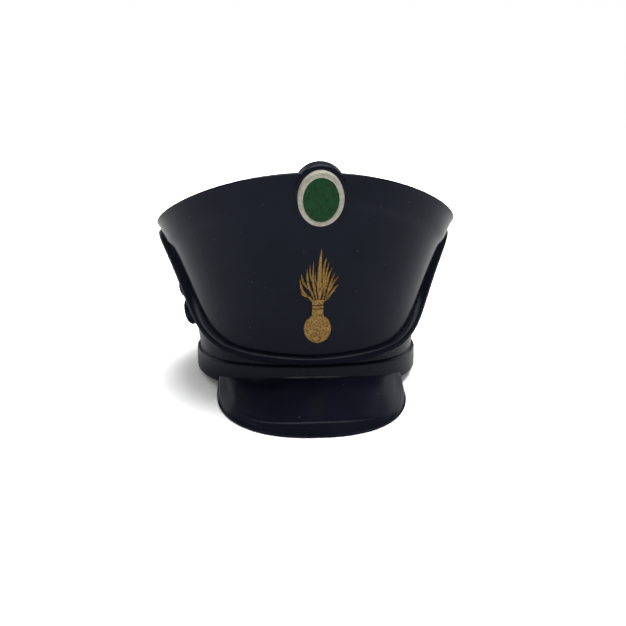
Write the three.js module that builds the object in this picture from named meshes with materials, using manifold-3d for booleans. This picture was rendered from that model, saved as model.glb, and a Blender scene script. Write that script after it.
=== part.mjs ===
// A toy figure's shako: a small black hat with a flared crown, a peak, a chin strap, a cockade and a
// grenade badge. Millimetres, +Z up, the front of the hat towards -Y. It stands on its peak and on the back
// of its band.
import * as THREE from "three";
import { mergeVertices } from "three/addons/utils/BufferGeometryUtils.js";
import Module from "manifold-3d";

const wasm = await Module();
wasm.setup();

// Head hollow and lower band
const headHollow = 10.4; // across the round hollow that takes the head
const bandWall = 1.0;
const bandHeight = 1.2;
const bandEdge = 0.2; // rounding of the band's outer edges
const bandRadius = headHollow / 2 + bandWall;

// Crown
const bandStep = 0.2; // how far the lower band stands out from the crown's foot
const rimRadius = 7.94;
const sideHeight = 6.44; // from the lower band to the rim, at the sides
const rimSlant = 1.5; // rise of the rim from the sides to the front; it falls half as much to the back
const frontLift = 1.25; // further rise of the rim towards the front
const flareStart = 0.42; // share of the flare that is straight; the rest grows with the square of the height
const crownWall = 1.0;
const topThickness = 1.0;

// Top band, let into the crown
const topBandHeight = 1.38;
const topBandProud = 0.12;
const topBandDepth = 0.4;
const topBandEdge = 0.18;

// Tube under the crown's top, for the stud on top of the head
const gripBore = 4.9;
const gripWall = 0.8;
const gripLength = 1.6;

// Peak
const peakReach = 9.5; // from the hat's axis to the peak's front
const peakHalfWidth = 4.85;
const peakDrop = 1.12; // the peak's lower edge in front, below the lower band
const peakThickness = 0.6;
const peakRootFront = 0.62; // top of the peak's root above the band's lower face, in front
const peakRootEnd = 0.16; // the same at the two ends of the root
const peakRimWidth = 0.55;
const peakFullness = 0.86; // at 1 the outline is a half-ellipse, and below 1 it has fuller corners
const peakRimHeight = 0.62; // height of the peak's edge in front
const peakRimRise = 0.06; // how far the raised edge stands above the peak, in front
const peakSideFrom = 0.12; // turns between which the raised edge becomes a wide rounding; the ends have turn 1
const peakSideTo = 0.66;
const peakSideFoot = 0.2; // height left under the rounding at the sides
const peakShoulder = 1.5; // width of the rounding at the sides
const peakShoulderPower = 2.2;
const peakEndFrom = 0.72; // turns between which the rounding becomes small again, towards the band
const peakEndTo = 0.98;
const peakEndShare = 0.85;

// Chin strap
const strapWidth = 0.42;
const strapThickness = 0.42;
const strapUnderRim = 0.3; // middle of the strap below the rim, behind the sides
const strapLiftFrom = 0.14; // shares of the crown's height below the top band, between which the strap's
const strapLiftTo = 0.04; // back steps out onto it

// Bosses on the two sides
const bossAzimuth = 97; // degrees from the front
const bossHeight = 1.45; // above the lower band
const bossDiameter = 1.55;
const bossProud = 0.66;
const knobAboveBoss = 0.08; // space between the boss and the knob
const knobDiameter = 1.0;
const knobProud = 0.64;
const buttonEdge = 0.35; // rounding of a boss's face, as a share of how far it stands out
const buttonRoot = 0.5; // length that is cut back to the crown's wall

// Cockade
const cockadeWidth = 2.02;
const cockadeHeight = 2.42;
const cockadeBelowRim = 1.01; // middle of the cockade below the front of the rim
const cockadeThickness = 0.42;
const cockadeRingWidth = 0.24;
const cockadeCentreSunk = 0.04; // face of the centre behind the face of the ring
const cockadeEdge = 0.1; // rounding of the cockade's edges
const cockadeBossRadius = 1.15;
const cockadeBossDepth = 0.8;
const cockadeBossAbove = 0.25; // middle of the boss above the middle of the cockade
const cockadeBossBevel = 0.15;
const printShift = 0.17; // the cockade and the badge sit this much towards the wearer's left

// Grenade badge
const badgeThickness = 0.22;
const badgeBallRadius = 0.67;
const badgeBallHeight = 1.88; // middle of the ball above the lower band
const badgeNeckWidth = 0.52;
const badgeFlameTop = 5.86; // tip of the tallest flame above the lower band
const badgeFlameHalfWidth = 0.95;
const badgeFlameFoot = 3.2; // where the flames leave the neck, above the lower band
const badgeFlameShift = 0.06; // middle of the flames towards the wearer's left of the ball

// Clearance between neighbouring pieces
const pieceGap = 0.05;

// How far a quarter rounding has moved in at its middle, as a share of its radius
const roundingMiddle = 0.3;

// How finely round shapes are divided
const aroundSteps = 64;
const smallRoundSteps = 24;
const strapHalfSteps = 48;

const degrees = Math.PI / 180;
const black = { color: 0x0b0d10, roughness: 0.22, metalness: 0 };
const white = { color: 0xd6d0c4, roughness: 0.35, metalness: 0 };
const green = { color: 0x16482a, roughness: 0.35, metalness: 0 };
const gold = { color: 0x9a7a45, roughness: 0.4, metalness: 0.5 };

const crownFoot = bandHeight + pieceGap;
const footRadius = bandRadius - bandStep;
const peakSlope = Math.atan2(peakDrop, peakReach + bandRadius - bandEdge);

// Height of the crown's top at a distance forward of the axis: level at the back, and rising to the front.
function topHeight(forward) {
  const share = forward / rimRadius;
  const curve = share > 0 ? frontLift : rimSlant / 2;
  return bandHeight + sideHeight + rimSlant * share + curve * share ** 2;
}

// Radius of the crown's outer face at a share of the height, 0 at the foot and 1 at the rim.
function crownRadius(share) {
  return footRadius + (rimRadius - footRadius) * share * (flareStart + (1 - flareStart) * share);
}

// A point round the hat's axis. Azimuth 0 is the front and grows towards +X.
function around(azimuth, radius, height) {
  return new THREE.Vector3(radius * Math.sin(azimuth), -radius * Math.cos(azimuth), height);
}

function rimHeight(azimuth) {
  return topHeight(rimRadius * Math.cos(azimuth));
}

// A point on the crown's outer face, moved out from the axis by the given distance.
function onCrown(azimuth, share, out = 0) {
  const height = crownFoot + share * (rimHeight(azimuth) - crownFoot);
  return around(azimuth, crownRadius(share) + out, height);
}

// How far the crown's wall leans out for each millimetre of height, at a share of the height.
function wallSlope(azimuth, share) {
  const flare = (rimRadius - footRadius) * (flareStart + 2 * (1 - flareStart) * share);
  return flare / (rimHeight(azimuth) - crownFoot);
}

// Direction square to the crown's wall, outwards.
function wallNormal(azimuth, share) {
  return around(azimuth, 1, -wallSlope(azimuth, share)).normalize();
}

function shareAt(azimuth, height) {
  return (height - crownFoot) / (rimHeight(azimuth) - crownFoot);
}

// Joins sections of equally many points into one closed surface, and merges points that coincide.
function skin(sections, { ring = true, closedSection = true } = {}) {
  const positions = sections.flat().flatMap((point) => point.toArray());
  const count = sections[0].length;
  const faces = [];
  const rounds = ring ? sections.length : sections.length - 1;
  const sides = closedSection ? count : count - 1;
  for (let i = 0; i < rounds; i++) {
    for (let j = 0; j < sides; j++) {
      const next = (i + 1) % sections.length;
      const side = (j + 1) % count;
      const [a, b, c, d] = [i * count + j, next * count + j, next * count + side, i * count + side];
      faces.push([a, c, b], [a, d, c]);
    }
  }
  if (!ring) {
    const last = (sections.length - 1) * count;
    for (let j = 1; j < count - 1; j++) {
      faces.push([0, j + 1, j], [last, last + j, last + j + 1]);
    }
  }
  const geometry = new THREE.BufferGeometry();
  geometry.setAttribute("position", new THREE.Float32BufferAttribute(positions, 3));
  geometry.setIndex(faces.flat());
  return closedSurface(geometry);
}

// Merges a geometry's coinciding vertices and drops the faces that this leaves without area.
function closedSurface(geometry) {
  const bare = geometry.clone();
  bare.deleteAttribute("normal");
  bare.deleteAttribute("uv");
  const merged = mergeVertices(bare, 1e-4);
  const index = [];
  for (let i = 0; i < merged.index.count; i += 3) {
    const [a, b, c] = [0, 1, 2].map((corner) => merged.index.getX(i + corner));
    if (a !== b && b !== c && c !== a) index.push(a, b, c);
  }
  merged.setIndex(index);
  return merged;
}

function solidOf(geometry) {
  const merged = closedSurface(geometry);
  return new wasm.Manifold(
    new wasm.Mesh({
      numProp: 3,
      vertProperties: new Float32Array(merged.attributes.position.array),
      triVerts: new Uint32Array(merged.index.array),
    }),
  );
}

function geometryOf(solid) {
  const mesh = solid.getMesh();
  const geometry = new THREE.BufferGeometry();
  geometry.setAttribute("position", new THREE.BufferAttribute(mesh.vertProperties, 3));
  geometry.setIndex(new THREE.BufferAttribute(mesh.triVerts, 1));
  return geometry;
}

function azimuths(count) {
  return Array.from({ length: count }, (_, i) => (i / count) * 2 * Math.PI);
}

// Quarter turn of a rounded corner, from the first direction to the second, as points of a section.
function roundedCorner([x, y], radius, fromDegrees, toDegrees, steps = 3) {
  return Array.from({ length: steps + 1 }, (_, i) => {
    const angle = (fromDegrees + ((toDegrees - fromDegrees) * i) / steps) * degrees;
    return [x + radius * Math.cos(angle), y + radius * Math.sin(angle)];
  });
}

const bandRecess = topBandDepth + pieceGap; // how deep the top band is let into the crown
const topSeat = rimRadius - bandRecess;
const topShares = [0, 0.4, 0.75];
const wallShares = [1, 0.8, 0.6, 0.4, 0.2, 0];
const insideShares = [0, 0.3, 0.6];

// A point on the crown's top, moved up by the given distance. The top meets the rim at its edge.
function onTop(azimuth, radius, up = 0) {
  const forward = (radius * Math.cos(azimuth) * rimRadius) / topSeat;
  return around(azimuth, radius, topHeight(forward) + up);
}

// The space inside the crown's outer faces, made larger all round by the given distance.
function crownEnvelope(out) {
  const sections = azimuths(aroundSteps).map((azimuth) => [
    ...topShares.map((share) => onTop(azimuth, share * topSeat, out)),
    onCrown(azimuth, 1, -bandRecess).add(around(azimuth, 0, out)),
    onCrown(azimuth, 1, out).add(around(azimuth, 0, out)),
    ...wallShares.map((share) => onCrown(azimuth, share, out)),
    around(azimuth, 0, crownFoot),
  ]);
  return solidOf(skin(sections, { closedSection: false }));
}

function crown() {
  const sections = azimuths(aroundSteps).map((azimuth) => {
    const rise = rimHeight(azimuth) - crownFoot;
    const shelf = 1 - (topBandHeight + pieceGap) / rise;
    const ceiling = 1 - topThickness / rise;
    const hollow = crownRadius(ceiling) - bandRecess - crownWall / 2;
    const inside = (share, wall) => {
      const height = crownFoot + share * rise;
      return around(azimuth, Math.max(headHollow / 2, crownRadius(share) - wall), height);
    };
    return [
      ...topShares.map((share) => onTop(azimuth, share * topSeat)),
      onCrown(azimuth, 1, -bandRecess),
      onCrown(azimuth, shelf, -bandRecess),
      ...wallShares.map((share) => onCrown(azimuth, share * shelf)),
      ...insideShares.map((share) => inside(share, crownWall)),
      inside(shelf, bandRecess + crownWall / 2),
      ...[1, ...topShares.toReversed()].map((share) => onTop(azimuth, share * hollow, -topThickness)),
    ];
  });
  return skin(sections, { closedSection: false });
}

function topBand() {
  const sections = azimuths(aroundSteps).map((azimuth) => {
    const rim = rimHeight(azimuth) - crownFoot;
    const low = 1 - topBandHeight / rim;
    const step = low + topBandProud / rim;
    const shoulder = 1 - topBandEdge / rim;
    return [
      onCrown(azimuth, low, -topBandDepth),
      onCrown(azimuth, low, 0),
      onCrown(azimuth, step, topBandProud),
      onCrown(azimuth, (low + 1) / 2, topBandProud),
      onCrown(azimuth, shoulder, topBandProud),
      onCrown(azimuth, 1 - (roundingMiddle * topBandEdge) / rim, topBandProud - roundingMiddle * topBandEdge),
      onCrown(azimuth, 1, topBandProud - topBandEdge),
      onCrown(azimuth, 1, -topBandDepth),
    ];
  });
  return skin(sections.reverse());
}

function lowerBand() {
  const inner = headHollow / 2;
  const profile = [
    [inner, 0],
    ...roundedCorner([bandRadius - bandEdge, bandEdge], bandEdge, -90, 0),
    ...roundedCorner([bandRadius - bandEdge, bandHeight - bandEdge], bandEdge, 0, 90),
    [inner, bandHeight],
    [inner, 0],
  ];
  const points = profile.map(([radius, height]) => new THREE.Vector2(radius, height));
  const geometry = new THREE.LatheGeometry(points, aroundSteps);
  return geometry.rotateX(Math.PI / 2);
}

function gripTube() {
  const bore = gripBore / 2;
  const outside = bore + gripWall;
  const sections = azimuths(aroundSteps).map((azimuth) => {
    const low = topHeight(0) - topThickness - gripLength;
    return [
      around(azimuth, bore, low),
      around(azimuth, outside, low),
      onTop(azimuth, outside, -topThickness - pieceGap),
      onTop(azimuth, bore, -topThickness - pieceGap),
    ];
  });
  return skin(sections.reverse());
}

// Height of the surface that the hat stands on, in the hat's own frame, at a distance forward of the axis.
function groundHeight(forward) {
  return -(forward + bandRadius - bandEdge) * Math.tan(peakSlope);
}

const peakRootForward = Math.sqrt(bandRadius ** 2 - peakHalfWidth ** 2);
const peakFrontTop = groundHeight(peakReach - peakRimWidth) + peakRimHeight;
const peakFall = (peakRootFront - peakFrontTop) / (peakReach - peakRimWidth - bandRadius);
const peakArch = (peakRootFront - peakRootEnd + peakFall * (bandRadius - peakRootForward)) / peakHalfWidth ** 2;

// Height of the peak's upper face, which falls forwards and is arched from side to side.
function peakTop(side, forward) {
  return peakRootFront - peakFall * (forward - bandRadius) - peakArch * side ** 2;
}

// Outline of the peak, moved inwards by a distance. Turn -1 and 1 are its two ends at the band.
function peakOutline(turn, inwards) {
  const angle = (Math.abs(turn) * Math.PI) / 2;
  const ahead = Math.max(0, Math.cos(angle)) ** peakFullness;
  return {
    x: Math.sign(turn) * (peakHalfWidth - inwards) * Math.sin(angle) ** peakFullness,
    forward: peakRootForward + (peakReach - peakRootForward - inwards) * ahead,
  };
}

function peakRoot(turn) {
  return around(turn * Math.asin(peakHalfWidth / bandRadius), bandRadius - bandWall / 2, 0);
}

function peakAtSide(turn) {
  return THREE.MathUtils.smoothstep(Math.abs(turn), peakSideFrom, peakSideTo);
}

// How far the peak's sides are rounded down, at a distance inwards from the outline.
function peakRounding(turn, inwards) {
  const { x, forward } = peakOutline(turn, 0);
  const root = peakRoot(turn);
  const width = Math.min(peakShoulder, Math.hypot(x - root.x, forward + root.y));
  const drop = peakTop(x, forward) - groundHeight(forward) - peakSideFoot;
  const atEnd = 1 - peakEndShare * THREE.MathUtils.smoothstep(Math.abs(turn), peakEndFrom, peakEndTo);
  return peakAtSide(turn) * atEnd * drop * Math.max(0, 1 - inwards / width) ** peakShoulderPower;
}

const peakTurns = Array.from({ length: 33 }, (_, i) => -1 + i / 16);

function bandCutter() {
  const geometry = new THREE.CylinderGeometry(
    bandRadius + pieceGap, bandRadius + pieceGap, 4 * bandHeight, aroundSteps,
  );
  return solidOf(geometry.rotateX(Math.PI / 2).translate(0, 0, 2 * bandHeight - peakDrop));
}

const peakShares = [0, 0.5, 0.8, 1];

function peak() {
  const sections = peakTurns.map((turn) => {
    const root = peakRoot(turn);
    const edge = peakOutline(turn, peakRimWidth + pieceGap);
    const plate = Math.hypot(edge.x - root.x, edge.forward + root.y);
    const points = peakShares.map((share) => new THREE.Vector2(
      root.x + share * (edge.x - root.x),
      -root.y + share * (edge.forward + root.y),
    ));
    const top = points.map(({ x, y: forward }, i) => {
      const inwards = peakRimWidth + pieceGap + (1 - peakShares[i]) * plate;
      return new THREE.Vector3(x, -forward, peakTop(x, forward) - peakRounding(turn, inwards));
    });
    const under = points.map(({ x, y: forward }) => {
      const lowest = groundHeight(forward) + peakSideFoot / 2;
      return new THREE.Vector3(x, -forward, Math.max(lowest, peakTop(x, forward) - peakThickness));
    });
    return [...top, ...under.reverse()];
  });
  return geometryOf(solidOf(skin(sections, { ring: false })).subtract(bandCutter()));
}

// Section of the raised edge in front, from the plate outwards. Inwards is a share of the edge's width, and
// the heights above the plate are multiples of the edge's rise.
const peakRimSection = [
  { inwards: 1, above: 0 },
  { inwards: 0.56, above: 1 },
  { inwards: 0.4, above: 0 },
  { inwards: 0.1, above: -2.7 },
  { inwards: 0, above: -5 },
];

function peakRim() {
  const sections = peakTurns.map((turn) => {
    const foot = (inwards) => {
      const { x, forward } = peakOutline(turn, inwards);
      return new THREE.Vector3(x, -forward, groundHeight(forward));
    };
    const top = peakRimSection.map(({ inwards, above }) => {
      const { x, forward } = peakOutline(turn, inwards * peakRimWidth);
      const raised = (1 - peakAtSide(turn)) * above * peakRimRise;
      const rounded = peakRounding(turn, inwards * peakRimWidth);
      return new THREE.Vector3(x, -forward, peakTop(x, forward) + raised - rounded);
    });
    return [foot(peakRimWidth), ...top, foot(0)];
  });
  return geometryOf(solidOf(skin(sections, { ring: false })).subtract(bandCutter()));
}

// Route of the strap: how far it has climbed from the crown's foot to just under the rim, by azimuth.
const strapClimb = [
  { azimuth: 0, climb: 0 },
  { azimuth: 36, climb: 0.01 },
  { azimuth: 47, climb: 0.05 },
  { azimuth: 60, climb: 0.15 },
  { azimuth: 69, climb: 0.3 },
  { azimuth: 75, climb: 0.5 },
  { azimuth: 80, climb: 0.74 },
  { azimuth: 86, climb: 0.92 },
  { azimuth: 93, climb: 1 },
  { azimuth: 180, climb: 1 },
];

const strapRoute = new THREE.CatmullRomCurve3(
  strapClimb.map(({ azimuth, climb }) => new THREE.Vector3(azimuth, climb, 0)),
  false,
  "centripetal",
);

// Middle of the strap's inner face, the direction out from the wall there, and the strap's thickness. Over the
// top band only its back steps out, so that its face runs on straight.
function strapSeat({ azimuth, climb }) {
  const low = bandHeight + pieceGap + strapWidth / 2;
  const high = rimHeight(azimuth) - strapUnderRim;
  const height = low + climb * (high - low);
  const share = shareAt(azimuth, height);
  const bandLow = 1 - topBandHeight / (rimHeight(azimuth) - crownFoot);
  const overBand = THREE.MathUtils.smoothstep(share, bandLow - strapLiftFrom, bandLow - strapLiftTo);
  const step = overBand * topBandProud;
  const outwards = wallNormal(azimuth, share);
  const middle = onCrown(azimuth, share).addScaledVector(outwards, pieceGap + step);
  return { middle, outwards, thickness: strapThickness - step };
}

// Section of the strap, in shares of its width and thickness. Its upper side is a wide slant.
const strapSection = [
  { down: -0.6, out: 0 },
  { down: -0.46, out: 0.38 },
  { down: -0.24, out: 0.72 },
  { down: 0, out: 0.95 },
  { down: 0.26, out: 1 },
  { down: 0.5, out: 0.77 },
  { down: 0.5, out: 0 },
];

function chinStrap() {
  const half = strapRoute.getSpacedPoints(strapHalfSteps).map(({ x, y }) => (
    { azimuth: x * degrees, climb: THREE.MathUtils.clamp(y, 0, 1) }
  ));
  const mirrored = half.slice(1, -1).reverse().map(({ azimuth, climb }) => ({ azimuth: -azimuth, climb }));
  const seats = [...half, ...mirrored].map(strapSeat);
  const sections = seats.map(({ middle, outwards, thickness }, i) => {
    const before = seats[(i + seats.length - 1) % seats.length];
    const after = seats[(i + 1) % seats.length];
    const along = after.middle.clone().sub(before.middle);
    const across = new THREE.Vector3().crossVectors(along, outwards).normalize();
    const outer = new THREE.Vector3().crossVectors(across, along).normalize();
    return strapSection.map(({ down, out }) => {
      const point = middle.clone().addScaledVector(across, down * strapWidth);
      return point.addScaledVector(outer, out * thickness);
    });
  });
  return skin(sections);
}

// Turned button with a rounded face, its axis along +Z and its foot at the origin.
function button(diameter, height) {
  const radius = diameter / 2;
  const edge = height * buttonEdge;
  const profile = [
    [0, -buttonRoot],
    [radius, -buttonRoot],
    [radius, height - edge],
    [radius - roundingMiddle * edge, height - roundingMiddle * edge],
    [radius - edge, height],
    [0, height],
  ].map(([x, y]) => new THREE.Vector2(x, y));
  return new THREE.LatheGeometry(profile, smallRoundSteps).rotateX(Math.PI / 2);
}

function sideButton(side, height, diameter, proud) {
  const azimuth = side * bossAzimuth * degrees;
  const share = shareAt(azimuth, bandHeight + height);
  const seat = onCrown(azimuth, share);
  const geometry = button(diameter, proud);
  const outwards = wallNormal(azimuth, share);
  geometry.applyQuaternion(new THREE.Quaternion().setFromUnitVectors(new THREE.Vector3(0, 0, 1), outwards));
  geometry.translate(seat.x, seat.y, seat.z);
  return geometryOf(solidOf(geometry).subtract(crownEnvelope(pieceGap)));
}

// Places a geometry, drawn facing +Z with +Y up, flat against the front of the crown at a height.
function onFront(geometry, share, out) {
  const seat = onCrown(0, share);
  const lean = Math.atan(wallSlope(0, share));
  geometry.rotateX(Math.PI / 2 + lean);
  const facing = new THREE.Vector3(0, -Math.cos(lean), -Math.sin(lean));
  geometry.translate(...seat.addScaledVector(facing, out).toArray());
  geometry.translate(printShift, 0, 0);
  return geometry;
}

// Back of the cockade in front of the crown's wall.
const cockadeSeat = topBandProud + 2 * pieceGap;

function ellipseShape(width, height) {
  return new THREE.Shape().absellipse(0, 0, width / 2, height / 2, 0, 2 * Math.PI);
}

const frontHeight = topHeight(rimRadius) - crownFoot;
const cockadeShare = 1 - cockadeBelowRim / frontHeight;

// Flat piece with a rounded edge, drawn facing +Z with its back at the origin.
function plate(shape, depth, edge, steps) {
  const geometry = new THREE.ExtrudeGeometry(shape, {
    depth: depth - 2 * edge,
    bevelThickness: edge,
    bevelSize: edge,
    bevelOffset: -edge,
    bevelSegments: 2,
    curveSegments: steps,
  });
  return geometry.translate(0, 0, edge);
}

function cockadeRing() {
  const shape = ellipseShape(cockadeWidth, cockadeHeight);
  const innerWidth = cockadeWidth - 2 * cockadeRingWidth;
  const innerHeight = cockadeHeight - 2 * cockadeRingWidth;
  shape.holes.push(ellipseShape(innerWidth, innerHeight));
  return onFront(plate(shape, cockadeThickness, cockadeEdge, smallRoundSteps), cockadeShare, cockadeSeat);
}

function cockadeCentre() {
  const gap = 2 * (cockadeRingWidth + pieceGap);
  const shape = ellipseShape(cockadeWidth - gap, cockadeHeight - gap);
  const depth = cockadeThickness - cockadeCentreSunk;
  return onFront(plate(shape, depth, cockadeEdge, smallRoundSteps), cockadeShare, cockadeSeat);
}

function cockadeBoss() {
  const shape = new THREE.Shape().absarc(0, cockadeBossAbove, cockadeBossRadius, 0, 2 * Math.PI);
  const geometry = plate(shape, cockadeBossDepth, cockadeBossBevel, smallRoundSteps);
  const placed = onFront(geometry, cockadeShare, cockadeSeat - pieceGap - cockadeBossDepth);
  return geometryOf(solidOf(placed).subtract(crownEnvelope(topBandProud + pieceGap)));
}

// Tips of the flames, from the lowest on the wearer's left over the tallest to the lowest on the right.
// Side is a share of the flames' half-width, and height a share of the way from their foot to the tallest tip.
const badgeFlames = [
  { side: 0.86, height: 0.19 },
  { side: 1.0, height: 0.32 },
  { side: 0.95, height: 0.47 },
  { side: 0.76, height: 0.55 },
  { side: 0.61, height: 0.64 },
  { side: 0.47, height: 0.76 },
  { side: 0.33, height: 0.83 },
  { side: 0.11, height: 1.0 },
  { side: 0.0, height: 0.83 },
  { side: -0.27, height: 0.76 },
  { side: -0.44, height: 0.68 },
  { side: -0.56, height: 0.63 },
  { side: -0.84, height: 0.53 },
  { side: -0.95, height: 0.42 },
  { side: -0.9, height: 0.22 },
];
const badgeNotch = 0.2; // how far the notch between two flames is drawn back to their foot

function badgeShape() {
  const neckAngle = Math.asin(badgeNeckWidth / 2 / badgeBallRadius);
  const foot = new THREE.Vector2(badgeFlameShift, badgeFlameFoot);
  const tips = badgeFlames.map(({ side, height }) => new THREE.Vector2(
    badgeFlameShift + side * badgeFlameHalfWidth,
    badgeFlameFoot + height * (badgeFlameTop - badgeFlameFoot),
  ));
  const shape = new THREE.Shape();
  const from = Math.PI / 2 + neckAngle;
  const to = Math.PI / 2 - neckAngle + 2 * Math.PI;
  shape.absarc(0, badgeBallHeight, badgeBallRadius, from, to);
  shape.lineTo(badgeNeckWidth / 2, badgeFlameFoot);
  tips.forEach((tip, i) => {
    shape.lineTo(tip.x, tip.y);
    if (i === tips.length - 1) return;
    const notch = tip.clone().lerp(tips[i + 1], 0.5).lerp(foot, badgeNotch);
    shape.lineTo(notch.x, notch.y);
  });
  shape.lineTo(-badgeNeckWidth / 2, badgeFlameFoot);
  return shape;
}

function grenadeBadge() {
  const geometry = new THREE.ExtrudeGeometry(badgeShape(), {
    depth: rimRadius,
    bevelEnabled: false,
    curveSegments: smallRoundSteps,
  });
  geometry.rotateX(Math.PI / 2).translate(printShift, -footRadius / 2, bandHeight);
  return geometryOf(
    solidOf(geometry)
      .intersect(crownEnvelope(pieceGap + badgeThickness))
      .subtract(crownEnvelope(pieceGap)),
  );
}

// The hat leans back on its peak, and stands on the middle of its own box.
const shako = new THREE.Group();
const hat = new THREE.Group();
hat.rotation.x = -peakSlope;
shako.add(hat);

function place(name, geometry, finish) {
  const mesh = new THREE.Mesh(geometry, new THREE.MeshStandardMaterial(finish));
  mesh.name = name;
  hat.add(mesh);
}

place("crown", crown(), black);
place("top_band", topBand(), black);
place("lower_band", lowerBand(), black);
place("peak", peak(), black);
place("peak_rim", peakRim(), black);
place("chin_strap", chinStrap(), black);
place("grip_tube", gripTube(), black);
const knobHeight = bossHeight + bossDiameter / 2 + knobAboveBoss + knobDiameter / 2;
for (const [name, side] of [["right", -1], ["left", 1]]) {
  place(`side_boss_${name}`, sideButton(side, bossHeight, bossDiameter, bossProud), black);
  place(`side_knob_${name}`, sideButton(side, knobHeight, knobDiameter, knobProud), black);
}
place("cockade_boss", cockadeBoss(), black);
place("cockade_ring", cockadeRing(), white);
place("cockade_centre", cockadeCentre(), green);
place("grenade_badge", grenadeBadge(), gold);

const box = new THREE.Box3().setFromObject(shako, true);
const middle = box.getCenter(new THREE.Vector3());
hat.position.set(-middle.x, -middle.y, -box.min.z);

export default shako;
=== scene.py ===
# %% [markdown]
# # A toy figure's shako
#
# The hat is a small black moulding, about 16 mm across, with a flared crown, a peak, a chin strap,
# a round boss with a printed cockade at the front of its rim, and a printed grenade on its front.
# Each cell below makes one piece or one finish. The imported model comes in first, as a fixed frame,
# and every piece that is modelled here stands where its rigid body stands.

# %% The frame
import math

import bpy
from mathutils import Matrix, Vector


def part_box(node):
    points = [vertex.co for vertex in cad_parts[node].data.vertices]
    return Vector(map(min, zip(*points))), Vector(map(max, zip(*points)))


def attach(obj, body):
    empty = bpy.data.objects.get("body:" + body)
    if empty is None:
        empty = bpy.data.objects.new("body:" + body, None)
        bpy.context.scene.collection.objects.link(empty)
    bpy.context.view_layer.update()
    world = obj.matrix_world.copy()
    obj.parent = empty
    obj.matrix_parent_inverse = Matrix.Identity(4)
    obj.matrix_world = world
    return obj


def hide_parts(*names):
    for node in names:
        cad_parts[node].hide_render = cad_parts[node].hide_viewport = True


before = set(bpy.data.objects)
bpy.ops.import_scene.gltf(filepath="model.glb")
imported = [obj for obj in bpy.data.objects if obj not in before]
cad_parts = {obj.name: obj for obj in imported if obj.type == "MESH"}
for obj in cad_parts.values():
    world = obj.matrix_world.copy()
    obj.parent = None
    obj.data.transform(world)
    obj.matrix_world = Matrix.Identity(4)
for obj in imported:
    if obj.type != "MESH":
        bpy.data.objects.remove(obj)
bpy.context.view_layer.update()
print("nodes:", ", ".join(sorted(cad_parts)))

# %% [markdown]
# ## Sizes
#
# All sizes are in millimetres and belong to the upright hat: its band stands on height 0, its axis is
# the Z axis, and its front looks towards -Y. The real hat leans back on its peak, so every finished
# piece is turned by that lean at the end, in one step.

# %% Sizes of the hat
HEAD_HOLLOW = 10.4
BAND_WALL, BAND_HEIGHT, BAND_EDGE = 1.0, 1.2, 0.2
BAND_RADIUS = HEAD_HOLLOW / 2 + BAND_WALL
BAND_STEP, RIM_RADIUS, SIDE_HEIGHT = 0.2, 7.94, 6.44
RIM_SLANT, FRONT_LIFT, FLARE_START = 1.5, 1.25, 0.42
CROWN_WALL, TOP_THICKNESS = 1.0, 1.0
TOP_BAND_HEIGHT, TOP_BAND_PROUD = 1.38, 0.12
GRIP_BORE, GRIP_WALL, GRIP_LENGTH = 4.9, 0.8, 1.6
PEAK_REACH, PEAK_HALF_WIDTH, PEAK_DROP, PEAK_THICKNESS = 9.5, 4.85, 1.12, 0.6
PEAK_ROOT_FRONT, PEAK_ROOT_END = 0.62, 0.16
PEAK_FULLNESS = 0.86
BEAD_WIDTH, BEAD_HEIGHT, SIDE_FOOT = 0.55, 0.64, 0.2
STRAP_WIDTH, STRAP_THICKNESS, STRAP_UNDER_RIM = 0.42, 0.42, 0.3
PIECE_GAP = 0.05

CROWN_FOOT = BAND_HEIGHT + PIECE_GAP
FOOT_RADIUS = BAND_RADIUS - BAND_STEP
LEVEL_RIM = BAND_HEIGHT + SIDE_HEIGHT
LEAN = math.atan2(PEAK_DROP, PEAK_REACH + BAND_RADIUS - BAND_EDGE)

band_low, band_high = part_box("lower_band")
band_middle = (Vector(band_low) + Vector(band_high)) / 2
TURN = Matrix.Rotation(-LEAN, 4, "X")
ORIGIN = band_middle - TURN @ Vector((0, 0, BAND_HEIGHT / 2000))
HAT = Matrix.Translation(ORIGIN) @ TURN @ Matrix.Scale(0.001, 4)
print("lean %.2f degrees, hat's origin at %s" % (math.degrees(LEAN), ORIGIN[:]))

# %% [markdown]
# ## The shape of the crown
#
# The crown is round in plan and wider at the rim than at its foot. Its rim isn't level: it rises to the
# front in a curve and is nearly level behind. Three small functions give the height of the rim, the
# radius of the wall and a point on it, and all pieces that touch the crown use them.

# %% Functions for the crown


def top_height(forward):
    share = forward / RIM_RADIUS
    curve = FRONT_LIFT if share > 0 else RIM_SLANT / 2
    return LEVEL_RIM + RIM_SLANT * share + curve * share**2


def crown_radius(share):
    return FOOT_RADIUS + (RIM_RADIUS - FOOT_RADIUS) * share * (FLARE_START + (1 - FLARE_START) * share)


def rim_height(azimuth):
    return top_height(RIM_RADIUS * math.cos(azimuth))


def around(azimuth, radius, height):
    return Vector((radius * math.sin(azimuth), -radius * math.cos(azimuth), height))


def on_crown(azimuth, share, out=0.0):
    height = CROWN_FOOT + share * (rim_height(azimuth) - CROWN_FOOT)
    return around(azimuth, crown_radius(share) + out, height)


def wall_slope(azimuth, share):
    flare = (RIM_RADIUS - FOOT_RADIUS) * (FLARE_START + 2 * (1 - FLARE_START) * share)
    return flare / (rim_height(azimuth) - CROWN_FOOT)


def wall_normal(azimuth, share):
    return around(azimuth, 1, -wall_slope(azimuth, share)).normalized()


def share_at(azimuth, height):
    return (height - CROWN_FOOT) / (rim_height(azimuth) - CROWN_FOOT)


print("rim: front %.2f, side %.2f, back %.2f" % tuple(rim_height(a * math.pi / 2) for a in range(3)))

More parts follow.
